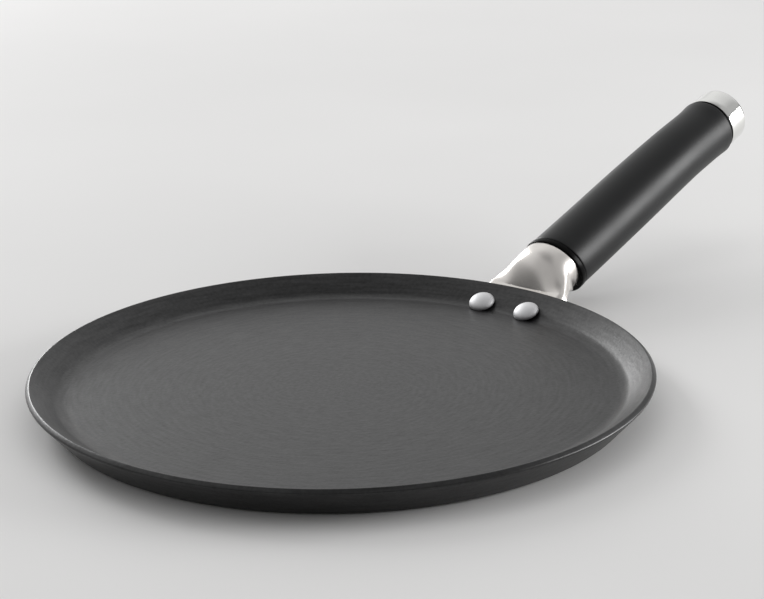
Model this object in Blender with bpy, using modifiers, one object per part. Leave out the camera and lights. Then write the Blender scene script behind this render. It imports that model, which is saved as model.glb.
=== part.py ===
"""Dosa tawa, 26 cm: a flat coated pan with a riveted steel neck and a round handle.

Metres, +Z up. The origin is the centre of the base's underside, and the handle
points along +X. Every handle piece is turned about the handle's own axis, which
starts on the rim and rises towards the end cap.
"""

import math

import bmesh
import bpy
from mathutils import Matrix, Vector

# Clearances
GAP = 0.0003
SEAT_GAP = 0.0004

# Pan
PAN_RADIUS = 0.1300
PAN_HEIGHT = 0.0144
RIM_THICKNESS = 0.0026
FLOOR_THICKNESS = 0.0062
INNER_WALL_ANGLE = math.radians(35.0)
OUTER_WALL_ANGLE = math.radians(48.0)
INNER_FILLET = 0.0100
OUTER_FILLET = 0.0040
RIM_ROUNDING = 0.0003

# Rivets, square through the wall between a spot face inside and a flat pocket outside
RIVET_TILT = math.radians(23.0)
RIVET_INSET = 0.0128
RIVET_RISE = 0.0018
RIVET_SPACING = 0.0243
RIVETED_THICKNESS = 0.0028
RIVET_SHANK_RADIUS = 0.0025
RIVET_HEAD_RADIUS = 0.0058
RIVET_HEAD_RISE = 0.0035
RIVET_TAIL_RADIUS = 0.0037
RIVET_TAIL_RISE = 0.0013
SPOT_FACE_RADIUS = RIVET_HEAD_RADIUS + SEAT_GAP
POCKET_MARGIN = 0.0005

# Handle axis
HANDLE_ANGLE = math.radians(15.2)

# Neck, pressed from sheet
SHEET_THICKNESS = 0.0014
NECK_END = 0.0260
NECK_FERRULE = 0.0025
NECK_RADIUS = 0.0139
NECK_SEAM_GAP = 0.0020
NECK_FACE_TURN = math.radians(62.0)
NECK_EDGE_TURN = math.radians(10.0)
WEB_START = 0.0050
WEB_LIFT = -0.0005
WEB_FLAT_HALF_WIDTH = 0.0178
WEB_EDGE_RADIUS = 0.0022
WEB_EDGE_TURN = math.radians(45.0)
WEB_SKIRT = 0.0008
FLANGE_BEND_RADIUS = 0.0100
FLANGE_BEND_OUT = 0.0081
FLANGE_END_MARGIN = 0.0060
FLANGE_CORNER = 0.0075

# Boss inside the neck
BOSS_DEPTH = 0.0024
SPIGOT_ACROSS_FLATS = 0.0120
SPIGOT_LENGTH = 0.0120
TAPPED_RADIUS = 0.0033

# Collar, which leans back towards the pan at its top, and gasket
COLLAR_LEAN = math.radians(13.0)
COLLAR_LENGTH = 0.0034
COLLAR_RADIUS = 0.0153
GASKET_THICKNESS = 0.0014
GASKET_RADIUS = 0.0141

# Grip
GRIP_LENGTH = 0.1359
GRIP_FRONT_RADIUS = 0.0147
GRIP_MIDDLE_RADIUS = 0.0149
GRIP_WAIST_RADIUS = 0.0142
GRIP_END_RADIUS = 0.0146
GRIP_MIDDLE_AT = 0.35
GRIP_WAIST_AT = 0.94
GRIP_BOW = 0.0009
GRIP_BOW_AT = 0.75
CORE_RADIUS = 0.0120
SCREW_BORE_RADIUS = 0.0034
HEAD_BORE_RADIUS = 0.0085

# Tie screw and washers
SCREW_RADIUS = 0.0030
SCREW_HEAD_RADIUS = 0.0050
SCREW_HEAD_HEIGHT = 0.0060
SCREW_SOCKET_ACROSS_FLATS = 0.0050
SCREW_SOCKET_DEPTH = 0.0035
SCREW_REACH = 0.0040
WASHER_RADIUS = 0.0080
WASHER_THICKNESS = 0.0016
SPRING_WASHER_RADIUS = 0.0059
SPRING_WASHER_THICKNESS = 0.0016
SPRING_WASHER_SPLIT = 0.0012

# End cap and its plug
CAP_LENGTH = 0.0139
CAP_RADIUS = 0.0138
CAP_WALL = 0.0009
CAP_ROUNDING = 0.0030
PLUG_DISC_LENGTH = 0.0100
PLUG_SPIGOT_REACH = 0.0130

# Mesh fineness
PAN_SEGMENTS = 96
HANDLE_SEGMENTS = 40
SMALL_SEGMENTS = 24
FILLET_STEPS = 4
DOME_STEPS = 7
SMOOTH_ANGLE = math.radians(32.0)
MERGE = 0.00002


# Scene and materials

def clear_scene():
    for old in list(bpy.data.objects):
        bpy.data.objects.remove(old, do_unlink=True)


def new_collection(name):
    collection = bpy.data.collections.new(name)
    bpy.context.scene.collection.children.link(collection)
    return collection


def new_material(name, colour, roughness, metallic):
    material = bpy.data.materials.new(name)
    material.use_nodes = True
    shader = material.node_tree.nodes["Principled BSDF"]
    shader.inputs["Base Color"].default_value = (*colour, 1.0)
    shader.inputs["Roughness"].default_value = roughness
    shader.inputs["Metallic"].default_value = metallic
    return material


clear_scene()
PARTS = new_collection("dosa_tawa")
CUTTERS = new_collection("cutters")


# Outlines, each a list of (radius, height) points

def rounded(corners):
    """Round each (radius, height, fillet) corner that has a fillet with an arc."""
    points = []
    for i, (x, z, fillet) in enumerate(corners):
        corner = Vector((x, z))
        if fillet == 0.0:
            points.append(corner)
            continue
        before = (Vector(corners[i - 1][:2]) - corner).normalized()
        after = (Vector(corners[(i + 1) % len(corners)][:2]) - corner).normalized()
        half = before.angle(after) / 2.0
        centre = corner + (before + after).normalized() * fillet / math.sin(half)
        first = corner + before * fillet / math.tan(half) - centre
        sweep = first.angle_signed(corner + after * fillet / math.tan(half) - centre)
        for step in range(FILLET_STEPS + 1):
            turn = Matrix.Rotation(-sweep * step / FILLET_STEPS, 2)
            points.append(centre + turn @ first)
    return points


def dome(radius, rise, base):
    """Half an ellipse from the axis down to its edge at the height base."""
    points = []
    for step in range(DOME_STEPS + 1):
        angle = math.pi / 2.0 * step / DOME_STEPS
        points.append(Vector((radius * math.sin(angle), base + rise * math.cos(angle))))
    return points


# Objects

def new_object(name, mesh, material, collection=None):
    obj = bpy.data.objects.new(name, mesh)
    (collection or PARTS).objects.link(obj)
    if material is not None:
        mesh.materials.append(material)
    return obj


def settle(obj):
    """Make the modifiers' result the object's own mesh, shaded smooth with sharp edges."""
    bpy.context.view_layer.update()
    graph = bpy.context.evaluated_depsgraph_get()
    mesh = bpy.data.meshes.new_from_object(obj.evaluated_get(graph))
    obj.modifiers.clear()
    obj.data = mesh
    mesh.shade_smooth()
    mesh.set_sharp_from_angle(angle=SMOOTH_ANGLE)


def turned(name, outline, material, segments=HANDLE_SEGMENTS, closed=True, collection=None):
    """Turn an outline about Z. It runs down its outer side; a closed one returns up its bore."""
    edges = [(i, i + 1) for i in range(len(outline) - 1)]
    if closed:
        edges.append((len(outline) - 1, 0))
    mesh = bpy.data.meshes.new(name)
    mesh.from_pydata([(point[0], 0.0, point[1]) for point in outline], edges, [])
    obj = new_object(name, mesh, material, collection)
    screw = obj.modifiers.new("turn", "SCREW")
    screw.axis = "Z"
    screw.angle = math.tau
    screw.steps = segments
    screw.render_steps = segments
    screw.use_merge_vertices = True
    screw.merge_threshold = MERGE
    settle(obj)
    return obj


def ring(name, outer, inner, low, high, material, segments=HANDLE_SEGMENTS, rounding=0.0):
    """A plain turned ring between two heights."""
    outline = [(outer, high, rounding), (outer, low, rounding), (inner, low, 0.0), (inner, high, 0.0)]
    return turned(name, rounded(outline), material, segments)


def prism(name, across_flats, low, high, collection, material=None):
    """A hexagonal bar along Z."""
    mesh = bpy.data.meshes.new(name)
    shape = bmesh.new()
    radius = across_flats / 2.0 / math.cos(math.pi / 6.0)
    bmesh.ops.create_cone(
        shape, cap_ends=True, segments=6, radius1=radius, radius2=radius, depth=high - low,
        matrix=Matrix.Translation((0.0, 0.0, (low + high) / 2.0)))
    shape.to_mesh(mesh)
    shape.free()
    return new_object(name, mesh, material, collection)


def rod(name, radius, low, high, segments=SMALL_SEGMENTS):
    """A round cutter along Z."""
    mesh = bpy.data.meshes.new(name)
    shape = bmesh.new()
    bmesh.ops.create_cone(
        shape, cap_ends=True, segments=segments, radius1=radius, radius2=radius,
        depth=high - low, matrix=Matrix.Translation((0.0, 0.0, (low + high) / 2.0)))
    shape.to_mesh(mesh)
    shape.free()
    return hidden(new_object(name, mesh, None, CUTTERS))


def hidden(cutter):
    cutter.hide_render = True
    cutter.display_type = "WIRE"
    return cutter


def boolean(obj, tool, operation):
    modifier = obj.modifiers.new(tool.name, "BOOLEAN")
    modifier.operation = operation
    modifier.solver = "EXACT"
    modifier.object = tool
    settle(obj)


def grid_mesh(name, rows, closed):
    """Quads between rows of points. A closed grid joins the last row and column to the first."""
    count = len(rows[0])
    row_range = range(len(rows) if closed else len(rows) - 1)
    column_range = range(count if closed else count - 1)
    faces = []
    for i in row_range:
        following = (i + 1) % len(rows)
        for j in column_range:
            beside = (j + 1) % count
            near = (i * count + j, i * count + beside)
            far = (following * count + beside, following * count + j)
            faces.append(near + far)
    mesh = bpy.data.meshes.new(name)
    mesh.from_pydata([point for row in rows for point in row], [], faces)
    return mesh


# Places on the pan and along the handle, the flat ones as (radius, height)

RIM_OUTER = Vector((PAN_RADIUS, PAN_HEIGHT - RIM_THICKNESS * math.cos(OUTER_WALL_ANGLE)))
RIM_INNER = Vector((PAN_RADIUS - RIM_THICKNESS * math.sin(OUTER_WALL_ANGLE), PAN_HEIGHT))

RIVET_SEAT = Vector((PAN_RADIUS - RIVET_INSET, FLOOR_THICKNESS + RIVET_RISE))
RIVET_TURN = math.asin(RIVET_SPACING / 2.0 / RIVET_SEAT.x)
SEAT_OUTWARD = Vector((math.sin(RIVET_TILT), -math.cos(RIVET_TILT)))
FLANGE_UP = Vector((math.cos(RIVET_TILT), math.sin(RIVET_TILT)))
FLANGE_AT_RIVETS = RIVET_SEAT + SEAT_OUTWARD * (RIVETED_THICKNESS + GAP)
FLANGE_BEND = FLANGE_AT_RIVETS + FLANGE_UP * FLANGE_BEND_OUT
FLANGE_END = FLANGE_AT_RIVETS - FLANGE_UP * FLANGE_END_MARGIN

HANDLE_ALONG = Vector((math.cos(HANDLE_ANGLE), 0.0, math.sin(HANDLE_ANGLE)))
HANDLE_UP = Vector((-math.sin(HANDLE_ANGLE), 0.0, math.cos(HANDLE_ANGLE)))
BEND_TO_ROOT = PAN_RADIUS - FLANGE_BEND.x
HANDLE_ROOT_HEIGHT = (
    FLANGE_BEND.y + BEND_TO_ROOT * math.tan(HANDLE_ANGLE) - WEB_LIFT / math.cos(HANDLE_ANGLE))
HANDLE = bpy.data.objects.new("handle_axis", None)
PARTS.objects.link(HANDLE)
HANDLE.location = (PAN_RADIUS, 0.0, HANDLE_ROOT_HEIGHT)
HANDLE.rotation_euler = (0.0, math.pi / 2.0 - HANDLE_ANGLE, 0.0)

LEAN_SLOPE = math.tan(COLLAR_LEAN)
LEAN_GAP = GAP / math.cos(COLLAR_LEAN)
COLLAR_START = NECK_END + LEAN_GAP + SHEET_THICKNESS * LEAN_SLOPE
GRIP_START = COLLAR_START + COLLAR_LENGTH + LEAN_GAP
GRIP_END = GRIP_START + GRIP_LENGTH
GASKET_START = GRIP_END + GAP
CAP_START = GASKET_START + GASKET_THICKNESS + GAP
CAP_END = CAP_START + CAP_LENGTH
BOSS_END = COLLAR_START - LEAN_GAP
BOSS_START = BOSS_END - BOSS_DEPTH
SPIGOT_END = GRIP_START + SPIGOT_LENGTH
PLUG_END = CAP_START + GAP + PLUG_DISC_LENGTH
PLUG_SPIGOT_START = GRIP_END - PLUG_SPIGOT_REACH
HEAD_END = PLUG_SPIGOT_START - GAP
HEAD_START = HEAD_END - SCREW_HEAD_HEIGHT
SPRING_WASHER_START = HEAD_START - GAP - SPRING_WASHER_THICKNESS
WASHER_START = SPRING_WASHER_START - GAP - WASHER_THICKNESS
HEAD_BORE_START = WASHER_START - GAP


def on_handle(obj):
    obj.parent = HANDLE
    return obj


def lean(obj, before):
    """Slide the mesh along the handle so that what is before a distance leans as the collar does."""
    for vertex in obj.data.vertices:
        if vertex.co.z < before:
            vertex.co.z += vertex.co.x * LEAN_SLOPE
    return obj


def ease(share):
    """Smooth step from 0 to 1 over a share from 0 to 1."""
    share = min(max(share, 0.0), 1.0)
    return (1.0 - math.cos(math.pi * share)) / 2.0


def between(start, end, share):
    return start + (end - start) * share


# Pan body

def pan_body(material):
    corner_in = RIM_INNER.x - (RIM_INNER.y - FLOOR_THICKNESS) / math.tan(INNER_WALL_ANGLE)
    corner_out = RIM_OUTER.x - RIM_OUTER.y / math.tan(OUTER_WALL_ANGLE)
    outline = rounded([
        (0.0, FLOOR_THICKNESS, 0.0),
        (corner_in, FLOOR_THICKNESS, INNER_FILLET),
        (RIM_INNER.x, RIM_INNER.y, RIM_ROUNDING),
        (RIM_OUTER.x, RIM_OUTER.y, RIM_ROUNDING),
        (corner_out, 0.0, OUTER_FILLET),
        (0.0, 0.0, 0.0)])
    obj = turned("pan_body", outline, material, PAN_SEGMENTS, closed=False)
    for side in (-1, 1):
        pad = rivet_rod("rivet_pad", side, SPOT_FACE_RADIUS, -RIVETED_THICKNESS / 2.0, 0.0)
        face = rivet_rod("spot_face", side, SPOT_FACE_RADIUS, 0.0, RIVET_HEAD_RADIUS)
        boolean(obj, pad, "UNION")
        boolean(obj, face, "DIFFERENCE")
    boolean(obj, flange_pocket(), "DIFFERENCE")
    return obj


def rivet_frame(side):
    """Place on the spot face inside the wall, with Z along the rivet towards the pan's middle."""
    turn = Matrix.Rotation(side * RIVET_TURN, 4, "Z")
    seat = Matrix.Translation((RIVET_SEAT.x, 0.0, RIVET_SEAT.y))
    tilt = Matrix.Rotation(-RIVET_TILT, 4, "Y")
    return turn @ seat @ tilt


def rivet_rod(name, side, radius, low, high):
    cutter = rod(f"{name}_{side:+d}", radius, low, high)
    cutter.matrix_world = rivet_frame(side)
    return cutter


def rivet(name, side, material):
    tail_seat = -(RIVETED_THICKNESS + GAP + SHEET_THICKNESS + SEAT_GAP)
    outline = dome(RIVET_HEAD_RADIUS, RIVET_HEAD_RISE, SEAT_GAP + RIM_ROUNDING)
    outline += [Vector(point) for point in (
        (RIVET_HEAD_RADIUS, SEAT_GAP),
        (RIVET_SHANK_RADIUS, SEAT_GAP),
        (RIVET_SHANK_RADIUS, tail_seat),
        (RIVET_TAIL_RADIUS, tail_seat))]
    outline += [Vector((point.x, 2.0 * tail_seat - point.y)) for point in reversed(
        dome(RIVET_TAIL_RADIUS, RIVET_TAIL_RISE, tail_seat))][1:]
    obj = turned(name, outline, material, SMALL_SEGMENTS, closed=False)
    obj.matrix_world = rivet_frame(side)
    return obj


def flange_pocket():
    """A box that cuts the flat the flange lies on out of the wall's underside."""
    length = FLANGE_BEND_OUT + 2.0 * FLANGE_END_MARGIN + POCKET_MARGIN
    depth = 2.0 * RIVET_SEAT.y
    middle = FLANGE_END - FLANGE_UP * POCKET_MARGIN + FLANGE_UP * length / 2.0
    middle += SEAT_OUTWARD * (depth / 2.0 - GAP)
    width = 2.0 * (sum(FLANGE_LENGTHS) + POCKET_MARGIN)
    size = Matrix.Diagonal((length, width, depth, 1.0))
    mesh = bpy.data.meshes.new("flange_pocket")
    shape = bmesh.new()
    bmesh.ops.create_cube(shape, size=1.0, matrix=size)
    shape.to_mesh(mesh)
    shape.free()
    cutter = hidden(new_object("flange_pocket", mesh, None, CUTTERS))
    place = Matrix.Translation((middle.x, 0.0, middle.y))
    cutter.matrix_world = place @ Matrix.Rotation(-RIVET_TILT, 4, "Y")
    return cutter


# Neck: one pressed sheet that is a tube at the grip and a flat flange under the wall

FACE_COLUMNS = 9
EDGE_COLUMNS = 3
SKIRT_COLUMNS = 8
NECK_ROWS = 16
WEB_ROWS = 4
FLANGE_ROWS = 6
CREASE_LEAD = 0.5
CREASE_RUN_IN = 0.3
SKIRT_FADE = 2.7
SEAM_TURN = NECK_SEAM_GAP / 2.0 / NECK_RADIUS
SKIRT_TURN = math.pi - SEAM_TURN - NECK_FACE_TURN - NECK_EDGE_TURN
WEB_TURNS = (0.0, WEB_EDGE_TURN, 0.0)
WEB_LENGTHS = (WEB_FLAT_HALF_WIDTH, WEB_EDGE_RADIUS * WEB_EDGE_TURN, WEB_SKIRT)
FLANGE_TURNS = (0.0, 0.0, 0.0)
FLANGE_LENGTHS = WEB_LENGTHS


def section_row(centre, lengths, turns, up=HANDLE_UP):
    """Points across the sheet. Each half is a top face, an edge and a skirt, all arcs."""
    half = []
    across = 0.0
    drop = 0.0
    heading = 0.0
    for length, turn, columns in zip(lengths, turns, (FACE_COLUMNS, EDGE_COLUMNS, SKIRT_COLUMNS)):
        for _ in range(columns):
            step = turn / columns
            chord = length / columns
            if step != 0.0:
                chord *= math.sin(step / 2.0) / (step / 2.0)
            across += chord * math.cos(heading + step / 2.0)
            drop += chord * math.sin(heading + step / 2.0)
            heading += step
            half.append((across, drop))
    left = [centre - up * down + Vector((0.0, out, 0.0)) for out, down in half]
    right = [centre - up * down - Vector((0.0, out, 0.0)) for out, down in half]
    return list(reversed(right)) + [centre] + left


def blend(start, end, share):
    return [between(a, b, share) for a, b in zip(start, end)]


def run_in(share):
    """A share that starts softly and then grows evenly."""
    if share < CREASE_RUN_IN:
        return share ** 2 / 2.0 / CREASE_RUN_IN / (1.0 - CREASE_RUN_IN / 2.0)
    return (share - CREASE_RUN_IN / 2.0) / (1.0 - CREASE_RUN_IN / 2.0)


def neck_rows():
    """Rows from the grip to the web, all on the sheet's upper side."""
    root = Vector(HANDLE.location)
    rows = []
    for i in range(-1, NECK_ROWS + 1):
        share = max(i / NECK_ROWS, 0.0)
        distance = NECK_END if i < 0 else between(NECK_END - NECK_FERRULE, WEB_START, share)
        crease_out = between(NECK_RADIUS * math.sin(NECK_FACE_TURN), WEB_FLAT_HALF_WIDTH, run_in(share))
        crease_height = between(NECK_RADIUS * math.cos(NECK_FACE_TURN), WEB_LIFT, run_in(share))
        crown = NECK_RADIUS * (1.0 - math.cos(NECK_FACE_TURN)) * ease(1.0 - share)
        face_turn = 2.0 * math.atan(crown / crease_out)
        face = crease_out * (face_turn / math.sin(face_turn) if share < 1.0 else 1.0)
        edge_turn = between(NECK_EDGE_TURN, WEB_EDGE_TURN, share ** CREASE_LEAD)
        edge = between(NECK_RADIUS * NECK_EDGE_TURN, WEB_LENGTHS[1], share)
        skirt_turn = SKIRT_TURN * (1.0 - share) ** SKIRT_FADE
        skirt = skirt_turn * NECK_RADIUS + WEB_SKIRT * share
        skirt_turn = max(skirt_turn - (edge_turn - NECK_EDGE_TURN) * (1.0 - share), 0.0)
        up = HANDLE_UP - HANDLE_ALONG * LEAN_SLOPE * ease(1.0 - share)
        centre = root + HANDLE_ALONG * distance + up * (crease_height + crown)
        rows.append(section_row(centre, (face, edge, skirt), (face_turn, edge_turn, skirt_turn), up))
    return rows


def flange_rows():
    """Rows along the web, round the bend and down the flange to its rounded end."""
    start = Vector(HANDLE.location) + HANDLE_ALONG * WEB_START + HANDLE_UP * WEB_LIFT
    line = rounded([
        (start.x, start.z, 0.0),
        (FLANGE_BEND.x, FLANGE_BEND.y, FLANGE_BEND_RADIUS),
        (FLANGE_END.x, FLANGE_END.y, 0.0)])
    arc = line[1:-1]
    web = [line[0].lerp(arc[0], i / WEB_ROWS) for i in range(1, WEB_ROWS)] + arc
    rows = []
    for i, point in enumerate(web):
        share = ease((i + 1) / len(web))
        rows.append(section_row(
            Vector((point.x, 0.0, point.y)),
            blend(WEB_LENGTHS, FLANGE_LENGTHS, share), blend(WEB_TURNS, FLANGE_TURNS, share)))
    length = (line[-1] - arc[-1]).length
    for i in range(1, FLANGE_ROWS + 1):
        point = arc[-1].lerp(line[-1], i / FLANGE_ROWS)
        left_over = length * (FLANGE_ROWS - i) / FLANGE_ROWS
        into_corner = max(1.0 - left_over / FLANGE_CORNER, 0.0)
        cut = FLANGE_CORNER * (1.0 - math.sqrt(1.0 - into_corner ** 2))
        lengths = (FLANGE_LENGTHS[0] - cut, FLANGE_LENGTHS[1], FLANGE_LENGTHS[2])
        rows.append(section_row(Vector((point.x, 0.0, point.y)), lengths, FLANGE_TURNS))
    return rows


def handle_neck(material):
    mesh = grid_mesh("handle_neck", neck_rows() + flange_rows(), closed=False)
    obj = new_object("handle_neck", mesh, material)
    sheet = obj.modifiers.new("sheet", "SOLIDIFY")
    sheet.thickness = SHEET_THICKNESS
    sheet.offset = -1.0
    sheet.use_even_offset = True
    settle(obj)
    return obj


# Boss, collar and gasket

def neck_boss(material):
    radius = NECK_RADIUS - SHEET_THICKNESS - 2.0 * GAP
    obj = turned("neck_boss", rounded([
        (0.0, BOSS_END, 0.0), (radius, BOSS_END, 0.0), (radius, BOSS_START, 0.0),
        (0.0, BOSS_START, 0.0)]), material, closed=False)
    lean(obj, GRIP_START)
    middle = (BOSS_START + BOSS_END) / 2.0
    spigot = hidden(prism("spigot", SPIGOT_ACROSS_FLATS, middle, SPIGOT_END - GAP, CUTTERS))
    boolean(obj, spigot, "UNION")
    hole = rod("tapped_hole", TAPPED_RADIUS, BOSS_START - radius, SPIGOT_END + GAP)
    boolean(obj, hole, "DIFFERENCE")
    return on_handle(obj)


def front_collar(material):
    corner_radius = SPIGOT_ACROSS_FLATS / 2.0 / math.cos(math.pi / 6.0)
    obj = ring("front_collar", COLLAR_RADIUS, corner_radius + GAP, COLLAR_START,
               COLLAR_START + COLLAR_LENGTH, material, rounding=COLLAR_LENGTH / 8.0)
    return on_handle(lean(obj, GRIP_START))


def rear_gasket(material):
    obj = ring("rear_gasket", GASKET_RADIUS, HEAD_BORE_RADIUS, GASKET_START,
               GASKET_START + GASKET_THICKNESS, material, rounding=GASKET_THICKNESS / 8.0)
    return on_handle(obj)


# Grip

GRIP_ROWS = 20
GRIP_END_ROUNDING = 0.0006
GRIP_LEAN_END = GRIP_START + 2.0 * GRIP_FRONT_RADIUS


def grip_radius(share):
    if share < GRIP_MIDDLE_AT:
        return between(GRIP_FRONT_RADIUS, GRIP_MIDDLE_RADIUS, ease(share / GRIP_MIDDLE_AT))
    if share < GRIP_WAIST_AT:
        behind_middle = (share - GRIP_MIDDLE_AT) / (GRIP_WAIST_AT - GRIP_MIDDLE_AT)
        return between(GRIP_MIDDLE_RADIUS, GRIP_WAIST_RADIUS, ease(behind_middle))
    behind_waist = (share - GRIP_WAIST_AT) / (1.0 - GRIP_WAIST_AT)
    return between(GRIP_WAIST_RADIUS, GRIP_END_RADIUS, ease(behind_waist))


def grip_lift(share):
    """How far the sleeve's outside stands above the handle axis; it bows up behind the middle."""
    if share < GRIP_BOW_AT:
        return GRIP_BOW * ease(share / GRIP_BOW_AT)
    return GRIP_BOW * ease((1.0 - share) / (1.0 - GRIP_BOW_AT))


def grip_row(radius, height, lift):
    row = []
    slope = LEAN_SLOPE * ease((GRIP_LEAN_END - height) / (GRIP_LEAN_END - GRIP_START))
    for column in range(HANDLE_SEGMENTS):
        angle = math.tau * column / HANDLE_SEGMENTS
        down = radius * math.cos(angle)
        row.append((down - lift, radius * math.sin(angle), height + down * slope))
    return row


def grip_sleeve(material):
    bore = CORE_RADIUS + GAP
    rows = [grip_row(GRIP_FRONT_RADIUS - GRIP_END_ROUNDING, GRIP_START, 0.0)]
    inset = GRIP_END_ROUNDING / GRIP_LENGTH
    for i in range(GRIP_ROWS + 1):
        share = between(inset, 1.0 - inset, i / GRIP_ROWS)
        rows.append(grip_row(grip_radius(share), GRIP_START + GRIP_LENGTH * share, grip_lift(share)))
    rows.append(grip_row(GRIP_END_RADIUS - GRIP_END_ROUNDING, GRIP_END, 0.0))
    rows.append(grip_row(bore, GRIP_END, 0.0))
    rows.append(grip_row(bore, GRIP_START, 0.0))
    obj = new_object("grip_sleeve", grid_mesh("grip_sleeve", rows, closed=True), material)
    settle(obj)
    return on_handle(obj)


def grip_core(material):
    outline = rounded([
        (CORE_RADIUS, GRIP_END, 0.0), (CORE_RADIUS, GRIP_START, 0.0),
        (SCREW_BORE_RADIUS, GRIP_START, 0.0), (SCREW_BORE_RADIUS, HEAD_BORE_START, 0.0),
        (HEAD_BORE_RADIUS, HEAD_BORE_START, 0.0), (HEAD_BORE_RADIUS, GRIP_END, 0.0)])
    obj = lean(turned("grip_core", outline, material), GRIP_START + GAP)
    across = SPIGOT_ACROSS_FLATS + 2.0 * GAP
    socket = hidden(prism("spigot_socket", across, GRIP_START - CORE_RADIUS, SPIGOT_END, CUTTERS))
    boolean(obj, socket, "DIFFERENCE")
    return on_handle(obj)


# Tie screw and washers

def tie_screw(material):
    tip = BOSS_START - SCREW_REACH
    outline = rounded([
        (0.0, HEAD_END, 0.0), (SCREW_HEAD_RADIUS, HEAD_END, SCREW_RADIUS / 8.0),
        (SCREW_HEAD_RADIUS, HEAD_START, 0.0), (SCREW_RADIUS, HEAD_START, 0.0),
        (SCREW_RADIUS, tip, SCREW_RADIUS / 4.0), (0.0, tip, 0.0)])
    obj = turned("tie_screw", outline, material, SMALL_SEGMENTS, closed=False)
    bottom = HEAD_END - SCREW_SOCKET_DEPTH
    socket = hidden(prism("screw_socket", SCREW_SOCKET_ACROSS_FLATS, bottom, HEAD_END + GAP, CUTTERS))
    boolean(obj, socket, "DIFFERENCE")
    return on_handle(obj)


def plain_washer(material):
    obj = ring("plain_washer", WASHER_RADIUS, SCREW_RADIUS + GAP, WASHER_START,
               WASHER_START + WASHER_THICKNESS, material, SMALL_SEGMENTS)
    return on_handle(obj)


def spring_washer(material):
    obj = ring("spring_washer", SPRING_WASHER_RADIUS, SCREW_RADIUS + GAP, SPRING_WASHER_START,
               SPRING_WASHER_START + SPRING_WASHER_THICKNESS, material, SMALL_SEGMENTS)
    mesh = bpy.data.meshes.new("washer_split")
    shape = bmesh.new()
    height = 2.0 * SPRING_WASHER_THICKNESS
    size = Matrix.Diagonal((SPRING_WASHER_RADIUS, SPRING_WASHER_SPLIT, height, 1.0))
    middle = SPRING_WASHER_START + SPRING_WASHER_THICKNESS / 2.0
    bmesh.ops.create_cube(
        shape, size=1.0, matrix=Matrix.Translation((SPRING_WASHER_RADIUS, 0.0, middle)) @ size)
    shape.to_mesh(mesh)
    shape.free()
    boolean(obj, hidden(new_object("washer_split", mesh, None, CUTTERS)), "DIFFERENCE")
    return on_handle(obj)


# End cap and plug

def end_cap(material):
    inner = CAP_RADIUS - CAP_WALL
    outline = rounded([
        (0.0, CAP_END, 0.0), (CAP_RADIUS, CAP_END, CAP_ROUNDING), (CAP_RADIUS, CAP_START, 0.0),
        (inner, CAP_START, 0.0), (inner, CAP_END - CAP_WALL, CAP_ROUNDING - CAP_WALL),
        (0.0, CAP_END - CAP_WALL, 0.0)])
    return on_handle(turned("end_cap", outline, material, closed=False))


def cap_plug(material):
    disc = CAP_RADIUS - CAP_WALL - GAP
    outline = rounded([
        (0.0, PLUG_END, 0.0), (disc, PLUG_END, 0.0), (disc, CAP_START + GAP, 0.0),
        (HEAD_BORE_RADIUS - GAP, CAP_START + GAP, 0.0),
        (HEAD_BORE_RADIUS - GAP, PLUG_SPIGOT_START, GAP), (0.0, PLUG_SPIGOT_START, 0.0)])
    return on_handle(turned("cap_plug", outline, material, closed=False))


# Assembly

def build():
    coated = new_material("coated_aluminium", (0.055, 0.055, 0.057), 0.42, 0.35)
    aluminium = new_material("rivet_aluminium", (0.80, 0.80, 0.79), 0.30, 1.0)
    polished = new_material("polished_steel", (0.66, 0.63, 0.60), 0.18, 1.0)
    bright = new_material("bright_steel", (0.84, 0.84, 0.82), 0.10, 1.0)
    plated = new_material("plated_steel", (0.62, 0.61, 0.57), 0.35, 1.0)
    soft_black = new_material("soft_black", (0.030, 0.030, 0.032), 0.55, 0.0)
    gloss_black = new_material("gloss_black", (0.008, 0.008, 0.008), 0.20, 0.0)
    moulded_black = new_material("moulded_black", (0.020, 0.020, 0.020), 0.45, 0.0)

    pan = pan_body(coated)
    neck = handle_neck(polished)
    for name, side in (("right_rivet", -1), ("left_rivet", 1)):
        reach = RIVETED_THICKNESS + SHEET_THICKNESS + RIVET_HEAD_RADIUS
        hole = rivet_rod("rivet_hole", side, RIVET_SHANK_RADIUS + GAP, -reach, RIVET_HEAD_RADIUS)
        boolean(pan, hole, "DIFFERENCE")
        boolean(neck, hole, "DIFFERENCE")
        rivet(name, side, aluminium)
    neck_boss(plated)
    front_collar(gloss_black)
    grip_core(moulded_black)
    grip_sleeve(soft_black)
    plain_washer(plated)
    spring_washer(plated)
    tie_screw(plated)
    rear_gasket(gloss_black)
    cap_plug(moulded_black)
    end_cap(bright)
    bpy.context.view_layer.update()


build()
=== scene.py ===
"""Dosa tawa: a heavy coated griddle pan with a riveted steel neck and a soft black grip.

The sections follow the way it is put together: the pan, the rivets, the neck that
they hold, the collar, the grip, what is inside it, the gasket and the end cap.
"""

import math

import bmesh
import bpy
from mathutils import Matrix, Vector


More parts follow.
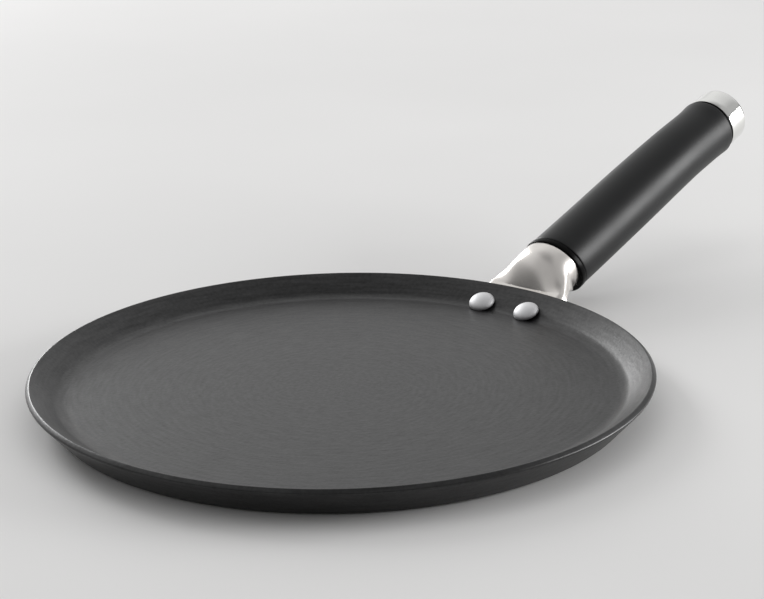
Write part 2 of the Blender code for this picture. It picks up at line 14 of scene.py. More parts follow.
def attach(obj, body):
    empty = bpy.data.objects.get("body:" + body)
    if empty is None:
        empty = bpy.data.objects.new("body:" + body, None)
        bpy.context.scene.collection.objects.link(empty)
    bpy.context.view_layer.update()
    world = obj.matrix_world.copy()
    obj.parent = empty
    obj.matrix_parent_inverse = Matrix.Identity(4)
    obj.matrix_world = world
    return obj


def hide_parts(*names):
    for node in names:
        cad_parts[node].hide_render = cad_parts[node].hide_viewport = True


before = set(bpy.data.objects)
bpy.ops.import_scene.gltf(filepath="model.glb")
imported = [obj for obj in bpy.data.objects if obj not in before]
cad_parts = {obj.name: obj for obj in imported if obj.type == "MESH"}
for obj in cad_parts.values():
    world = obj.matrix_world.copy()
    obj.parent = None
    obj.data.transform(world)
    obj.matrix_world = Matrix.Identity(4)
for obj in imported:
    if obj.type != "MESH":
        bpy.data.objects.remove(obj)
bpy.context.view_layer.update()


# The studio: a pale floor in soft, even light. A long softbox stands aslant behind
# on the left and a smaller one low on the right, and they draw the highlights.
FLOOR_SIZE = 9.0
FLOOR_DROP = 0.0002


def new_material(name):
    """A new material, its node tree, its shader and the piece's own coordinates."""
    material = bpy.data.materials.new(name)
    material.use_nodes = True
    tree = material.node_tree
    place = tree.nodes.new("ShaderNodeTexCoord").outputs["Object"]
    return material, tree, tree.nodes["Principled BSDF"], place


def add_noise(tree, place, scale, detail):
    """A cloudy pattern from 0 to 1."""
    noise = tree.nodes.new("ShaderNodeTexNoise")
    noise.inputs["Scale"].default_value = scale
    noise.inputs["Detail"].default_value = detail
    tree.links.new(place, noise.inputs["Vector"])
    return noise.outputs["Fac"]


def add_tint(tree, pattern, dark, light, start=0.0, end=1.0):
    """A colour that goes from dark to light as the pattern goes from start to end."""
    ramp = tree.nodes.new("ShaderNodeValToRGB")
    for stop, position, colour in zip(ramp.color_ramp.elements, (start, end), (dark, light)):
        stop.position = position
        stop.color = (*colour, 1.0)
    tree.links.new(pattern, ramp.inputs["Fac"])
    return ramp.outputs["Color"]


floor_material, tree, shader, place = new_material("pale_floor")
floor_grain = add_noise(tree, place, scale=3.0, detail=3.0)
floor_colour = add_tint(tree, floor_grain, (0.80, 0.795, 0.79), (0.83, 0.825, 0.82), start=0.35, end=0.65)
tree.links.new(floor_colour, shader.inputs["Base Color"])
shader.inputs["Roughness"].default_value = 0.75

bpy.ops.object.select_all(action="DESELECT")
bpy.ops.mesh.primitive_plane_add(size=FLOOR_SIZE, location=(0.0, 0.0, -FLOOR_DROP))
studio_floor = bpy.context.object
studio_floor.name = "studio_floor"
bpy.ops.object.transform_apply(location=True, rotation=True, scale=True)
studio_floor.data.materials.append(floor_material)

# The walls are greys in the world: dark in front, lightest behind and a little to
# the left, and lighter high up. The camera sees a plain pale background instead.
LOW_WALLS_HEADING = math.radians(55.0)
LOW_WALLS = ((0.38, 0.06), (0.52, 0.22), (0.72, 0.28), (0.82, 0.42), (0.90, 0.56), (0.94, 0.66),
             (0.98, 0.90))
HIGH_WALLS_HEADING = math.radians(60.0)
HIGH_WALLS = ((0.30, 0.46), (0.46, 0.50), (0.56, 0.68), (0.70, 0.78), (0.84, 0.88), (0.95, 0.90))
RISE = ((0.33, 0.0), (0.46, 1.0), (0.88, 1.0), (0.98, 0.55))
BACKGROUND = (0.86, 0.86, 0.86, 1.0)

world = bpy.data.worlds.new("soft_studio")
bpy.context.scene.world = world
world.use_nodes = True
nodes = world.node_tree.nodes
links = world.node_tree.links
direction = nodes.new("ShaderNodeTexCoord").outputs["Generated"]
axes = nodes.new("ShaderNodeSeparateXYZ")
links.new(direction, axes.inputs["Vector"])


def grey_ramp(name, share, stops):
    """Greys along a share from 0 to 1, through stops in rising order: a place and its grey."""
    ramp = nodes.new("ShaderNodeValToRGB")
    ramp.label = name
    marks = ramp.color_ramp.elements
    marks[0].position = stops[0][0]
    marks[1].position = stops[-1][0]
    for position, _ in stops[1:-1]:
        marks.new(position)
    for mark, (_, grey) in zip(marks, stops):
        mark.color = (grey, grey, grey, 1.0)
    links.new(share, ramp.inputs["Fac"])
    return ramp.outputs["Color"]


def towards(heading):
    """A share that is 1 in a level direction, 0.5 square to it and 0 opposite it."""
    facing = nodes.new("ShaderNodeVectorMath")
    facing.operation = "DOT_PRODUCT"
    facing.inputs[1].default_value = (math.cos(heading), math.sin(heading), 0.0)
    share = nodes.new("ShaderNodeMath")
    share.operation = "MULTIPLY_ADD"
    share.inputs[1].default_value = 0.5
    share.inputs[2].default_value = 0.5
    links.new(direction, facing.inputs[0])
    links.new(facing.outputs["Value"], share.inputs[0])
    return share.outputs["Value"]


walls = nodes.new("ShaderNodeMix")
walls.data_type = "RGBA"
links.new(grey_ramp("rise", axes.outputs["Z"], RISE), walls.inputs["Factor"])
links.new(grey_ramp("low_walls", towards(LOW_WALLS_HEADING), LOW_WALLS), walls.inputs["A"])
links.new(grey_ramp("high_walls", towards(HIGH_WALLS_HEADING), HIGH_WALLS), walls.inputs["B"])
backdrop = nodes.new("ShaderNodeMix")
backdrop.data_type = "RGBA"
backdrop.inputs["B"].default_value = BACKGROUND
links.new(nodes.new("ShaderNodeLightPath").outputs["Is Camera Ray"], backdrop.inputs["Factor"])
links.new(walls.outputs["Result"], backdrop.inputs["A"])
links.new(backdrop.outputs["Result"], nodes["Background"].inputs["Color"])


def soft_light(name, stand, aim, width, height, roll, watts):
    """A rectangular softbox that faces the point it is aimed at, rolled about that line."""
    lamp = bpy.data.lights.new(name, "AREA")
    lamp.shape = "RECTANGLE"
    lamp.size = width
    lamp.size_y = height
    lamp.energy = watts
    light = bpy.data.objects.new(name, lamp)
    bpy.context.scene.collection.objects.link(light)
    light.location = stand
    facing = (Vector(aim) - Vector(stand)).to_track_quat("-Z", "Y").to_matrix().to_4x4()
    light.rotation_euler = (facing @ Matrix.Rotation(roll, 4, "Z")).to_euler()


soft_light("back_left_light", stand=(0.83, 2.22, 0.80), aim=(0.03, 0.0, 0.02),
           width=1.80, height=0.68, roll=math.radians(45.0), watts=31.0)
soft_light("right_light", stand=(1.00, -0.98, 0.27), aim=(0.12, 0.0, 0.03),
           width=0.86, height=0.54, roll=0.0, watts=16.5)

# The camera stands where the photograph was taken from, low in front of the pan
# with the handle pointing away to the right.
VIEW_HEADING = math.radians(-51.746)
VIEW_ELEVATION = math.radians(18.528)
VIEW_ROLL = math.radians(-1.114)
VIEW_DISTANCE = 1.14077
VIEW_TARGET = Vector((0.09796, 0.05500, 0.0066))
FILM_WIDTH = 36.0
FOCAL_LENGTH = 117.8

turned = Matrix.Rotation(VIEW_HEADING, 4, "Z") @ Matrix.Rotation(math.pi / 2 - VIEW_ELEVATION, 4, "X")
backwards = (turned @ Vector((0.0, 0.0, 1.0, 0.0))).to_3d()
tripod = Matrix.Translation(VIEW_TARGET + backwards * VIEW_DISTANCE)
lens = bpy.data.cameras.new("studio_camera")
lens.sensor_width = FILM_WIDTH
lens.lens = FOCAL_LENGTH
camera = bpy.data.objects.new("studio_camera", lens)
bpy.context.scene.collection.objects.link(camera)
camera.matrix_world = tripod @ turned @ Matrix.Rotation(VIEW_ROLL, 4, "Z")
bpy.context.scene.camera = camera
bpy.context.scene.view_settings.view_transform = "Standard"


# Pan body: one heavy disc of cast aluminium with a shallow, sloping rim, turned
# smooth and sprayed all over with a dark non-stick coating. Half of its section
# is drawn, from the middle of the floor over the rim to that of the underside.
PAN_FLOOR = 0.0062
PAN_RIM_INNER = (0.12807, 0.0144)
PAN_RIM_OUTER = (0.1300, 0.01266)
INNER_WALL_SLOPE = math.radians(35.0)
OUTER_WALL_SLOPE = math.radians(48.0)
FLOOR_ROUNDING = 0.0100
RIM_INNER_ROUNDING = 0.0006
RIM_OUTER_ROUNDING = 0.0008
BASE_ROUNDING = 0.0040
FLOOR_RINGS = (0.001, 0.030, 0.080, 0.106, 0.1120)
BASE_RINGS = (0.1150, 0.080, 0.030, 0.001)
PAN_SEGMENTS = 256


def rounded_corner(before, corner, after, radius, steps):
    """Points of an arc that rounds the corner between two straight stretches."""
    corner = Vector(corner)
    back = (Vector(before) - corner).normalized()
    on = (Vector(after) - corner).normalized()
    half = back.angle(on) / 2.0
    middle = corner + (back + on).normalized() * radius / math.sin(half)
    first = corner + back * radius / math.tan(half) - middle
    last = corner + on * radius / math.tan(half) - middle
    sweep = first.angle_signed(last)
    return [middle + Matrix.Rotation(-sweep * i / steps, 2) @ first for i in range(steps + 1)]


def turn_rings(name, outline, segments):
    """Draw a ring at the outline's first point, then pull it out ring by ring to the last."""
    bpy.ops.object.select_all(action="DESELECT")
    bpy.ops.mesh.primitive_circle_add(
        vertices=segments, radius=outline[0][0], location=(0.0, 0.0, outline[0][1]))
    piece = bpy.context.object
    piece.name = name
    bpy.ops.object.transform_apply(location=True, rotation=True, scale=True)
    bpy.ops.object.mode_set(mode="EDIT")
    bpy.ops.mesh.select_all(action="SELECT")
    for before, after in zip(outline, outline[1:]):
        bpy.ops.mesh.extrude_edges_move(
            TRANSFORM_OT_translate={"value": (0.0, 0.0, after[1] - before[1])})
        ratio = after[0] / before[0]
        bpy.ops.transform.resize(value=(ratio, ratio, 1.0), center_override=(0.0, 0.0, after[1]))
    bpy.ops.object.mode_set(mode="OBJECT")
    return piece


def close_ends(piece):
    """Fill the open rings at the two ends of the outline and turn all faces outwards."""
    bpy.ops.object.mode_set(mode="EDIT")
    bpy.ops.mesh.select_all(action="DESELECT")
    bpy.ops.mesh.select_non_manifold()
    bpy.ops.mesh.edge_face_add()
    bpy.ops.mesh.select_all(action="SELECT")
    bpy.ops.mesh.normals_make_consistent(inside=False)
    bpy.ops.object.mode_set(mode="OBJECT")
    piece.data.shade_smooth()


inner_wall_width = (PAN_RIM_INNER[1] - PAN_FLOOR) / math.tan(INNER_WALL_SLOPE)
outer_wall_width = PAN_RIM_OUTER[1] / math.tan(OUTER_WALL_SLOPE)
floor_corner = (PAN_RIM_INNER[0] - inner_wall_width, PAN_FLOOR)
base_corner = (PAN_RIM_OUTER[0] - outer_wall_width, 0.0)
pan_outline = [Vector((radius, PAN_FLOOR)) for radius in FLOOR_RINGS]
pan_outline += rounded_corner((0.0, PAN_FLOOR), floor_corner, PAN_RIM_INNER, FLOOR_ROUNDING, steps=14)
pan_outline += rounded_corner(floor_corner, PAN_RIM_INNER, PAN_RIM_OUTER, RIM_INNER_ROUNDING, steps=5)
pan_outline += rounded_corner(PAN_RIM_INNER, PAN_RIM_OUTER, base_corner, RIM_OUTER_ROUNDING, steps=6)
pan_outline += rounded_corner(PAN_RIM_OUTER, base_corner, (0.0, 0.0), BASE_ROUNDING, steps=8)
pan_outline += [Vector((radius, 0.0)) for radius in BASE_RINGS]
pan = turn_rings("coated_pan", pan_outline, PAN_SEGMENTS)
close_ends(pan)


def add_range(tree, pattern, low, high):
    """A number that follows the pattern from low to high."""
    span = tree.nodes.new("ShaderNodeMapRange")
    span.inputs["To Min"].default_value = low
    span.inputs["To Max"].default_value = high
    tree.links.new(pattern, span.inputs["Value"])
    return span.outputs["Result"]


def add_blend(tree, first, second, share):
    """One pattern with a share of a second one in it."""
    blend = tree.nodes.new("ShaderNodeMix")
    blend.inputs["Factor"].default_value = share
    tree.links.new(first, blend.inputs["A"])
    tree.links.new(second, blend.inputs["B"])
    return blend.outputs["Result"]


def add_relief(tree, pattern, strength, depth):
    """A bump node whose height is the pattern."""
    relief = tree.nodes.new("ShaderNodeBump")
    relief.inputs["Strength"].default_value = strength
    relief.inputs["Distance"].default_value = depth
    tree.links.new(pattern, relief.inputs["Height"])
    return relief


# The coating's patterns: soft mottling, the fine rings that turning left, which run
# round the pan's middle, and the grain of the spray.
TURNING_STREAK = 0.012
coating, tree, shader, place = new_material("non_stick_coating")
parts = tree.nodes.new("ShaderNodeSeparateXYZ")
from_middle = tree.nodes.new("ShaderNodeVectorMath")
from_middle.operation = "LENGTH"
around = tree.nodes.new("ShaderNodeMath")
around.operation = "ARCTAN2"
streak = tree.nodes.new("ShaderNodeMath")
streak.operation = "MULTIPLY"
streak.inputs[1].default_value = TURNING_STREAK
polar = tree.nodes.new("ShaderNodeCombineXYZ")
tree.links.new(place, parts.inputs["Vector"])
tree.links.new(place, from_middle.inputs[0])
tree.links.new(parts.outputs["Y"], around.inputs[0])
tree.links.new(parts.outputs["X"], around.inputs[1])
tree.links.new(around.outputs["Value"], streak.inputs[0])
tree.links.new(from_middle.outputs["Value"], polar.inputs["X"])
tree.links.new(streak.outputs["Value"], polar.inputs["Y"])
mottling = add_noise(tree, place, scale=38.0, detail=6.0)
turning_marks = add_noise(tree, polar.outputs["Vector"], scale=620.0, detail=3.0)
spray_grain = add_noise(tree, place, scale=620.0, detail=4.0)
worn = add_blend(tree, mottling, turning_marks, share=0.45)
marked = add_blend(tree, turning_marks, spray_grain, share=0.45)
coat_colour = add_tint(tree, worn, (0.0030, 0.0030, 0.0032), (0.0085, 0.0085, 0.0090), start=0.3, end=0.7)
ring_relief = add_relief(tree, turning_marks, strength=0.30, depth=0.0001)
grain_relief = add_relief(tree, spray_grain, strength=0.55, depth=0.0001)
tree.links.new(ring_relief.outputs["Normal"], grain_relief.inputs["Normal"])
tree.links.new(coat_colour, shader.inputs["Base Color"])
tree.links.new(add_range(tree, mottling, 0.31, 0.39), shader.inputs["Roughness"])
tree.links.new(add_range(tree, marked, 0.10, 0.92), shader.inputs["Specular IOR Level"])
tree.links.new(grain_relief.outputs["Normal"], shader.inputs["Normal"])
pan.data.materials.append(coating)
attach(pan, "root")
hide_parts("pan_body")


# Rivets: two solid aluminium rivets with wide, low heads, set through the wall
# into the neck's flange and headed over on its far side.
RIVET_SEAT = Vector((0.1172, 0.0, 0.0080))
RIVET_TILT = math.radians(23.0)
RIVET_TURN = 0.10386
HEAD_RADIUS = 0.00582
HEAD_HEIGHT = 0.0031
HEAD_BRIM = 0.0006
HEAD_UNDERSIDE = 0.0003
HEAD_UNDERCUT = 0.0001
HEAD_STEPS = 16
CROWN_STEP = 0.4
SHANK_RADIUS = 0.0025
SHANK_TOP = 0.0002
SHANK_END = -0.0049
RIVET_TAIL = [(0.0037, -0.0050), (0.0035, -0.0057), (0.0024, -0.0062), (0.0005, -0.0063)]
RIVET_SEGMENTS = 64

rivet_outline = []
for i in range(HEAD_STEPS + 1):
    angle = math.pi / 2.0 * (i + CROWN_STEP) / (HEAD_STEPS + CROWN_STEP)
    rivet_outline.append((HEAD_RADIUS * math.sin(angle), HEAD_BRIM + HEAD_HEIGHT * math.cos(angle)))
rivet_outline += [(HEAD_RADIUS - HEAD_UNDERCUT, HEAD_UNDERSIDE)]
rivet_outline += [(SHANK_RADIUS, SHANK_TOP), (SHANK_RADIUS, SHANK_END)] + RIVET_TAIL

rivet_metal, tree, shader, place = new_material("satin_rivet_aluminium")
shader.inputs["Metallic"].default_value = 1.0
rub = add_noise(tree, place, scale=700.0, detail=4.0)
rivet_relief = add_relief(tree, rub, strength=0.12, depth=0.0001)
tree.links.new(add_tint(tree, rub, (0.68, 0.68, 0.69), (0.79, 0.79, 0.80)), shader.inputs["Base Color"])
tree.links.new(add_range(tree, rub, 0.56, 0.66), shader.inputs["Roughness"])
tree.links.new(rivet_relief.outputs["Normal"], shader.inputs["Normal"])

left_rivet = turn_rings("left_domed_rivet", rivet_outline, RIVET_SEGMENTS)
close_ends(left_rivet)
bpy.ops.object.duplicate()
right_rivet = bpy.context.object
right_rivet.name = "right_domed_rivet"
for rivet, side, node in ((left_rivet, 1, "left_rivet"), (right_rivet, -1, "right_rivet")):
    rivet.data.transform(
        Matrix.Rotation(side * RIVET_TURN, 4, "Z") @ Matrix.Translation(RIVET_SEAT)
        @ Matrix.Rotation(-RIVET_TILT, 4, "Y"))
    rivet.data.materials.append(rivet_metal)
    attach(rivet, "root")
    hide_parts(node)


# Neck: one polished stainless sheet, a round ferrule under the collar that is
# pressed out flat towards the pan, creased along both sides and tucked under
# the rim. It is drawn as rows across the sheet and then given its thickness.
HANDLE_ANGLE = math.radians(15.2)
HANDLE_ROOT = Vector((0.1300, 0.0, 0.009952))
ALONG = Vector((math.cos(HANDLE_ANGLE), 0.0, math.sin(HANDLE_ANGLE)))
UPWARD = Vector((-math.sin(HANDLE_ANGLE), 0.0, math.cos(HANDLE_ANGLE)))
LEAN = math.radians(13.0)
SHEET_THICKNESS = 0.0014
SHEET_EDGE_ROUNDING = 0.0003
NECK_BLANK = 0.05

# Places along the handle from its root at the rim, and how the sheet's middle falls
# from the ferrule to the web.
NECK_RADIUS = 0.0134
NECK_END = 0.0263
FERRULE_START = 0.0238
WEB_START = 0.0050
FALL_END = 0.0045
FALL_LENGTH = 0.0195
FALL_POWER = 2.5
WEB_DIP = 0.0005

# The crease along each side, and the skirt that wraps down below it.
CREASE_TURN = math.radians(62.0)
CREASE_EASE = 0.3
FERRULE_CREASE = 0.0014
WEB_CREASE = 0.0016
WEB_CREASE_HEIGHT = 0.0010
FLAT_HALF_WIDTH = 0.0174
FERRULE_SIDE_TURN = math.radians(76.0)
WEB_SIDE_TURN = math.radians(64.0)
SKIRT_TURN = math.radians(99.9)
SKIRT_POWER = 2.7
SKIRT_INSET = 0.0005
WEB_SKIRT = 0.0026

# The flange under the wall, with shares of its length for where it has gone flat
# and where its end begins to round off.
FLANGE_BEND = Vector((0.1259, 0.0, 0.0083))
FLANGE_END = Vector((0.1129, 0.0, 0.0028))
FLANGE_FLAT_FROM = 0.4
FLANGE_CORNER_FROM = 0.72
FLANGE_CORNER = 0.0060
FLANGE_LIP = 0.0012

STEPS_ACROSS = (12, 4, 10)
WEB_ROWS = 30
FLANGE_ROWS = 16


def soft_step(share):
    """From 0 to 1, starting and ending gently."""
    return (1.0 - math.cos(math.pi * share)) / 2.0


def middle_height(distance):
    """How high the sheet's middle stands over the handle's axis, falling faster near the web."""
    left = max(1.0 - (distance - FALL_END) / FALL_LENGTH, 0.0)
    return (NECK_RADIUS + WEB_DIP) * (1.0 - left ** FALL_POWER) - WEB_DIP


def crease_run(share):
    """The crease leaves the ferrule softly and then runs straight to the web."""
    straight = 1.0 - CREASE_EASE / 2.0
    if share < CREASE_EASE:
        return share ** 2 / (2.0 * CREASE_EASE) / straight
    return (share - CREASE_EASE / 2.0) / straight


def sheet_row(middle, lengths, turns, up):
    """Points across the sheet from one lower edge over the top to the other.

    Each half is the top face, the crease and the skirt, with a length and a turn for each.
    """
    across = drop = heading = 0.0
    half = []
    for length, turn, count in zip(lengths, turns, STEPS_ACROSS):
        for _ in range(count):
            heading += turn / count / 2.0
            across += length / count * math.cos(heading)
            drop += length / count * math.sin(heading)
            heading += turn / count / 2.0
            half.append((across, drop))
    side = Vector((0.0, 1.0, 0.0))
    left = [middle - up * down + side * out for out, down in half]
    right = [middle - up * down - side * out for out, down in half]
    return right[::-1] + [middle] + left


# The first row is the ferrule's end under the collar, and the others run to the web.
rows = []
for i in range(-1, WEB_ROWS + 1):
    share = max(i / WEB_ROWS, 0.0)
    distance = NECK_END if i < 0 else FERRULE_START + (WEB_START - FERRULE_START) * share
    run = crease_run(share)
    out = NECK_RADIUS * math.sin(CREASE_TURN) * (1.0 - run) + FLAT_HALF_WIDTH * run
    crease_height = NECK_RADIUS * math.cos(CREASE_TURN) * (1.0 - run) + WEB_CREASE_HEIGHT * run
    crown = middle_height(distance) - crease_height
    face_turn = 2.0 * math.atan(crown / out)
    face = out * face_turn / math.sin(face_turn)
    side_turn = FERRULE_SIDE_TURN + (WEB_SIDE_TURN - FERRULE_SIDE_TURN) * soft_step(share)
    crease = FERRULE_CREASE + (WEB_CREASE - FERRULE_CREASE) * share
    skirt_turn = SKIRT_TURN * (1.0 - share) ** SKIRT_POWER
    skirt = skirt_turn * (NECK_RADIUS - SKIRT_INSET) + WEB_SKIRT * share
    up = UPWARD - ALONG * math.tan(LEAN) * soft_step(1.0 - share)
    middle = HANDLE_ROOT + ALONG * distance + up * middle_height(distance)
    turns = (face_turn, side_turn - face_turn, skirt_turn)
    rows.append(sheet_row(middle, (face, crease, skirt), turns, up))

# The flange bends down from the web's last row under the wall, losing its dish and
# its folded sides, and ends in two round corners.
web_end = HANDLE_ROOT + ALONG * WEB_START + UPWARD * middle_height(WEB_START)
for i in range(1, FLANGE_ROWS + 1):
    share = i / FLANGE_ROWS
    spine = (web_end - FLANGE_BEND) * (1.0 - share) ** 2 + (FLANGE_END - FLANGE_BEND) * share ** 2
    spine += FLANGE_BEND
    corner = max(share - FLANGE_CORNER_FROM, 0.0) / (1.0 - FLANGE_CORNER_FROM)
    cut = FLANGE_CORNER * (1.0 - math.sqrt(max(1.0 - corner ** 2, 0.0)))
    fold = soft_step(max(1.0 - share / FLANGE_FLAT_FROM, 0.0))
    lengths = (FLAT_HALF_WIDTH - cut, WEB_CREASE, FLANGE_LIP + (WEB_SKIRT - FLANGE_LIP) * fold)
    dish = face_turn * fold
    rows.append(sheet_row(spine, lengths, (dish, WEB_SIDE_TURN * fold - dish, 0.0), UPWARD))

bpy.ops.object.select_all(action="DESELECT")
bpy.ops.mesh.primitive_grid_add(
    x_subdivisions=len(rows[0]) - 1, y_subdivisions=len(rows) - 1, size=NECK_BLANK)
neck = bpy.context.object
neck.name = "pressed_neck"
sheet = bmesh.new()
sheet.from_mesh(neck.data)
sheet.verts.ensure_lookup_table()
for index, vertex in enumerate(sheet.verts):
    vertex.co = rows[index // len(rows[0])][index % len(rows[0])]
sheet.to_mesh(neck.data)
sheet.free()
bpy.ops.object.mode_set(mode="EDIT")
bpy.ops.mesh.select_all(action="SELECT")
bpy.ops.mesh.flip_normals()
bpy.ops.object.mode_set(mode="OBJECT")
wall = neck.modifiers.new("sheet_thickness", "SOLIDIFY")
wall.thickness = SHEET_THICKNESS
wall.offset = -1.0
wall.use_even_offset = True
edges = neck.modifiers.new("rolled_edges", "BEVEL")
edges.width = SHEET_EDGE_ROUNDING
edges.segments = 3
edges.limit_method = "ANGLE"
edges.angle_limit = math.radians(50.0)
bpy.ops.object.modifier_apply(modifier="sheet_thickness")
bpy.ops.object.modifier_apply(modifier="rolled_edges")
bpy.ops.object.shade_smooth_by_angle(angle=math.radians(35.0))

steel, tree, shader, place = new_material("polished_stainless")
shader.inputs["Metallic"].default_value = 1.0
stretch = tree.nodes.new("ShaderNodeMapping")
stretch.inputs["Rotation"].default_value = (0.0, HANDLE_ANGLE, 0.0)
stretch.inputs["Scale"].default_value = (60.0, 900.0, 900.0)
tree.links.new(place, stretch.inputs["Vector"])
polish_lines = add_noise(tree, stretch.outputs["Vector"], scale=1.0, detail=3.0)
cloud = add_noise(tree, place, scale=90.0, detail=2.0)
steel_relief = add_relief(tree, polish_lines, strength=0.04, depth=0.0001)
tree.links.new(add_tint(tree, cloud, (0.71, 0.68, 0.65), (0.78, 0.75, 0.72)), shader.inputs["Base Color"])
tree.links.new(add_range(tree, cloud, 0.21, 0.28), shader.inputs["Roughness"])
tree.links.new(steel_relief.outputs["Normal"], shader.inputs["Normal"])
neck.data.materials.append(steel)
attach(neck, "root")
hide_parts("handle_neck")


# Collar: the glossy black moulded ring between the neck and the grip. It leans
# back towards the pan at its top, as the end of the neck does.
ON_HANDLE = Matrix.Translation(HANDLE_ROOT) @ Matrix.Rotation(math.pi / 2.0 - HANDLE_ANGLE, 4, "Y")
COLLAR_START = 0.02665
COLLAR_END = 0.03003
COLLAR_RADIUS = 0.01530
COLLAR_REAR_FACE = 0.0140
COLLAR_BORE = 0.0074
COLLAR_REAR_ROUNDING = 0.0005
COLLAR_FRONT_ROUNDING = 0.0010
COLLAR_SEGMENTS = 128


def join_seam():
    """Join the last ring to the first where an outline runs all round, and turn faces outwards."""
    bpy.ops.object.mode_set(mode="EDIT")
    bpy.ops.mesh.select_all(action="SELECT")
    bpy.ops.mesh.remove_doubles(threshold=0.00001)
    bpy.ops.mesh.normals_make_consistent(inside=False)
    bpy.ops.object.mode_set(mode="OBJECT")


def lean(vertex, share):
    """Slide a point along the handle by how far it lies below the axis, for a share of the lean."""
    vertex.co.z += vertex.co.x * math.tan(LEAN) * share


rear_edge = (COLLAR_RADIUS, COLLAR_END)
front_edge = (COLLAR_RADIUS, COLLAR_START)
collar_outline = [(COLLAR_BORE, COLLAR_END), (COLLAR_REAR_FACE, COLLAR_END)]
collar_outline += rounded_corner(
    (COLLAR_REAR_FACE, COLLAR_END), rear_edge, front_edge, COLLAR_REAR_ROUNDING, steps=4)
collar_outline += rounded_corner(
    rear_edge, front_edge, (COLLAR_BORE, COLLAR_START), COLLAR_FRONT_ROUNDING, steps=6)
collar_outline += [(COLLAR_BORE, COLLAR_START), (COLLAR_BORE, COLLAR_END)]
collar = turn_rings("moulded_collar", collar_outline, COLLAR_SEGMENTS)
join_seam()
bpy.ops.object.shade_smooth_by_angle(angle=math.radians(35.0))
for vertex in collar.data.vertices:
    lean(vertex, 1.0)
collar.data.transform(ON_HANDLE)

gloss_black, tree, shader, place = new_material("gloss_black_moulding")
shader.inputs["Specular IOR Level"].default_value = 0.04
ripple = add_noise(tree, place, scale=160.0, detail=2.0)
black_relief = add_relief(tree, ripple, strength=0.05, depth=0.0002)
tree.links.new(
    add_tint(tree, ripple, (0.002, 0.002, 0.002), (0.004, 0.004, 0.004)), shader.inputs["Base Color"])
tree.links.new(add_range(tree, ripple, 0.22, 0.32), shader.inputs["Roughness"])
tree.links.new(black_relief.outputs["Normal"], shader.inputs["Normal"])
collar.data.materials.append(gloss_black)
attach(collar, "root")
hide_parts("front_collar")


# Grip sleeve: a round, faintly waisted sleeve of soft-touch black rubber, a
# little higher behind its middle than a straight tube, with small soft edges.
GRIP_START = 0.03034
GRIP_END = 0.16624
GRIP_LENGTH = GRIP_END - GRIP_START
GRIP_WAIST = ((0.0, 0.0150), (0.35, 0.0149), (0.94, 0.0142), (1.0, 0.0146))
GRIP_BORE = 0.0123
GRIP_FRONT_FACE = 0.0139
GRIP_REAR_FACE = 0.0138
GRIP_EDGE = ((0.0005, 0.00008), (0.0002, 0.00028), (0.00005, 0.00055))
GRIP_EDGE_SHARE = 0.007
GRIP_ROWS = 36
GRIP_BOW = 0.0009
GRIP_BOW_AT = 0.75
GRIP_OUTSIDE = 0.0130
GRIP_LEAN_LENGTH = 0.0294
GRIP_SEGMENTS = 96


def grip_radius(share):
    """The sleeve's radius, which eases from each place of the waist to the next."""
    for (start, before), (end, after) in zip(GRIP_WAIST, GRIP_WAIST[1:]):
        if share <= end:
            return before + (after - before) * soft_step((share - start) / (end - start))


def grip_rise(share):
    """How far the sleeve's outside is bowed up, most at three quarters of its length."""
    if share < GRIP_BOW_AT:
        return GRIP_BOW * soft_step(share / GRIP_BOW_AT)
    return GRIP_BOW * soft_step((1.0 - share) / (1.0 - GRIP_BOW_AT))


grip_outline = [(GRIP_BORE, GRIP_START), (GRIP_FRONT_FACE, GRIP_START)]
for drop, step in GRIP_EDGE:
    grip_outline.append((grip_radius(0.0) - drop, GRIP_START + step))
for i in range(GRIP_ROWS + 1):
    share = GRIP_EDGE_SHARE + (1.0 - 2.0 * GRIP_EDGE_SHARE) * i / GRIP_ROWS
    grip_outline.append((grip_radius(share), GRIP_START + GRIP_LENGTH * share))
for drop, step in reversed(GRIP_EDGE):
    grip_outline.append((grip_radius(1.0) - drop, GRIP_END - step))
grip_outline += [(GRIP_REAR_FACE, GRIP_END), (GRIP_BORE, GRIP_END), (GRIP_BORE, GRIP_START)]
grip = turn_rings("soft_grip", grip_outline, GRIP_SEGMENTS)
join_seam()
for vertex in grip.data.vertices:
    distance = vertex.co.z - GRIP_START
    lean(vertex, soft_step(max(1.0 - distance / GRIP_LEAN_LENGTH, 0.0)))
    if vertex.co.x ** 2 + vertex.co.y ** 2 > GRIP_OUTSIDE ** 2:
        vertex.co.x -= grip_rise(min(max(distance / GRIP_LENGTH, 0.0), 1.0))
bpy.ops.object.shade_smooth_by_angle(angle=math.radians(40.0))
grip.data.transform(ON_HANDLE)

soft_touch, tree, shader, place = new_material("soft_touch_black")
shader.inputs["Specular IOR Level"].default_value = 0.27
fine_grain = add_noise(tree, place, scale=1400.0, detail=3.0)
handling = add_noise(tree, place, scale=45.0, detail=5.0)
grip_colour = add_tint(tree, handling, (0.0020, 0.0022, 0.0025), (0.0060, 0.0064, 0.0070))
grip_relief = add_relief(tree, fine_grain, strength=0.22, depth=0.0001)
tree.links.new(grip_colour, shader.inputs["Base Color"])
tree.links.new(add_range(tree, handling, 0.34, 0.50), shader.inputs["Roughness"])
tree.links.new(grip_relief.outputs["Normal"], shader.inputs["Normal"])
grip.data.materials.append(soft_touch)
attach(grip, "root")
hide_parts("grip_sleeve")


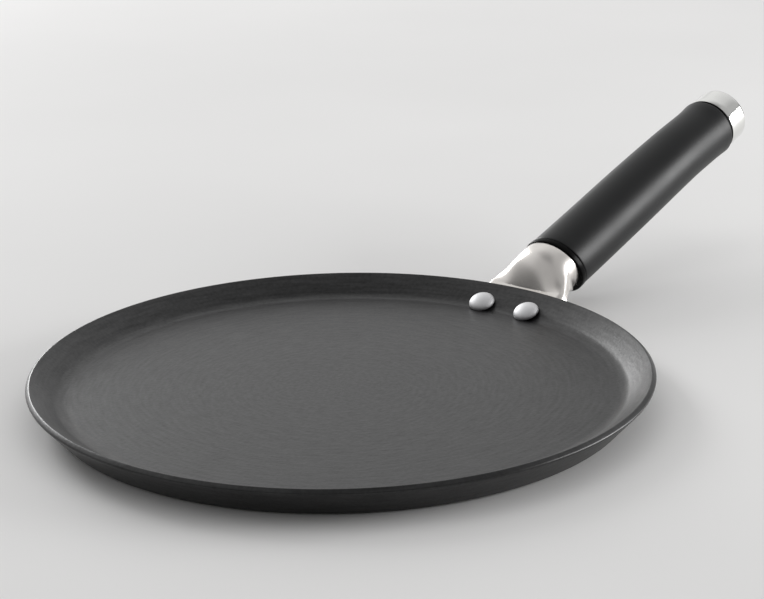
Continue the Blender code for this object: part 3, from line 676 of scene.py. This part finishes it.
# Core and plug: stiff black mouldings inside the sleeve and the cap, hidden when
# the handle is together. Their faces are as they leave the mould.
moulding, tree, shader, place = new_material("plain_black_moulding")
flow = add_noise(tree, place, scale=300.0, detail=4.0)
moulding_relief = add_relief(tree, flow, strength=0.1, depth=0.0002)
tree.links.new(
    add_tint(tree, flow, (0.016, 0.016, 0.016), (0.026, 0.026, 0.026)), shader.inputs["Base Color"])
tree.links.new(moulding_relief.outputs["Normal"], shader.inputs["Normal"])
shader.inputs["Roughness"].default_value = 0.45
for node in ("grip_core", "cap_plug"):
    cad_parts[node].material_slots[0].material = moulding


# Boss, tie screw and washers: turned and stamped from zinc-plated steel. The
# screw pulls the core against the boss in the neck.
plating, tree, shader, place = new_material("zinc_plating")
shader.inputs["Metallic"].default_value = 1.0
bloom = add_noise(tree, place, scale=260.0, detail=4.0)
tree.links.new(add_tint(tree, bloom, (0.55, 0.55, 0.52), (0.70, 0.69, 0.64)), shader.inputs["Base Color"])
tree.links.new(add_range(tree, bloom, 0.28, 0.42), shader.inputs["Roughness"])
for node in ("neck_boss", "tie_screw", "plain_washer", "spring_washer"):
    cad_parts[node].material_slots[0].material = plating


# Gasket: the thin black ring that seals the rear end of the grip against the
# cap, moulded from the same glossy black as the collar.
GASKET_START = 0.16656
GASKET_END = 0.16796
GASKET_RADIUS = 0.0141
GASKET_BORE = 0.0086
GASKET_EDGE = ((0.0005, 0.0), (0.0001, 0.00008), (0.0, 0.00026))
GASKET_SEGMENTS = 96

gasket_outline = [(GASKET_BORE, GASKET_END)]
gasket_outline += [(GASKET_RADIUS - drop, GASKET_END - step) for drop, step in GASKET_EDGE]
gasket_outline += [(GASKET_RADIUS - drop, GASKET_START + step) for drop, step in reversed(GASKET_EDGE)]
gasket_outline += [(GASKET_BORE, GASKET_START), (GASKET_BORE, GASKET_END)]
gasket = turn_rings("thin_gasket", gasket_outline, GASKET_SEGMENTS)
join_seam()
bpy.ops.object.shade_smooth_by_angle(angle=math.radians(35.0))
gasket.data.transform(ON_HANDLE)
gasket.data.materials.append(gloss_black)
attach(gasket, "root")
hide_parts("rear_gasket")


# End cap: a short cup drawn from stainless sheet, mirror polished, with a soft
# edge round its flat end.
CAP_START = 0.16826
CAP_END = 0.18213
CAP_RADIUS = 0.0138
CAP_WALL = 0.0009
CAP_ROUNDING = 0.0030
CAP_LIP_INWARDS = 0.0001
CAP_LIP_ALONG = 0.0002
CAP_FACE_RINGS = (0.0005, 0.0060, 0.0098)
CAP_SIDE_RINGS = (0.1760, 0.1715)
CAP_INSIDE_RING = 0.1780
CAP_SEGMENTS = 128

inner_radius = CAP_RADIUS - CAP_WALL
inner_end = CAP_END - CAP_WALL
cap_outline = [(radius, CAP_END) for radius in CAP_FACE_RINGS]
cap_outline += rounded_corner(
    (0.0, CAP_END), (CAP_RADIUS, CAP_END), (CAP_RADIUS, CAP_START), CAP_ROUNDING, steps=10)
cap_outline += [(CAP_RADIUS, distance) for distance in CAP_SIDE_RINGS]
cap_outline += [(CAP_RADIUS, CAP_START + CAP_LIP_ALONG), (CAP_RADIUS - CAP_LIP_INWARDS, CAP_START)]
cap_outline += [(inner_radius, CAP_START), (inner_radius, CAP_INSIDE_RING)]
cap_outline += rounded_corner(
    (inner_radius, CAP_START), (inner_radius, inner_end), (0.0, inner_end), CAP_ROUNDING - CAP_WALL, steps=6)
cap_outline += [(radius, inner_end) for radius in reversed(CAP_FACE_RINGS[:2])]
cap = turn_rings("polished_cap", cap_outline, CAP_SEGMENTS)
close_ends(cap)
bpy.ops.object.shade_smooth_by_angle(angle=math.radians(50.0))
cap.data.transform(ON_HANDLE)

mirror_steel, tree, shader, place = new_material("mirror_stainless")
shader.inputs["Metallic"].default_value = 1.0
haze = add_noise(tree, place, scale=120.0, detail=3.0)
tree.links.new(add_tint(tree, haze, (0.77, 0.77, 0.75), (0.85, 0.85, 0.83)), shader.inputs["Base Color"])
tree.links.new(add_range(tree, haze, 0.05, 0.10), shader.inputs["Roughness"])
cap.data.materials.append(mirror_steel)
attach(cap, "root")
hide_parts("end_cap")
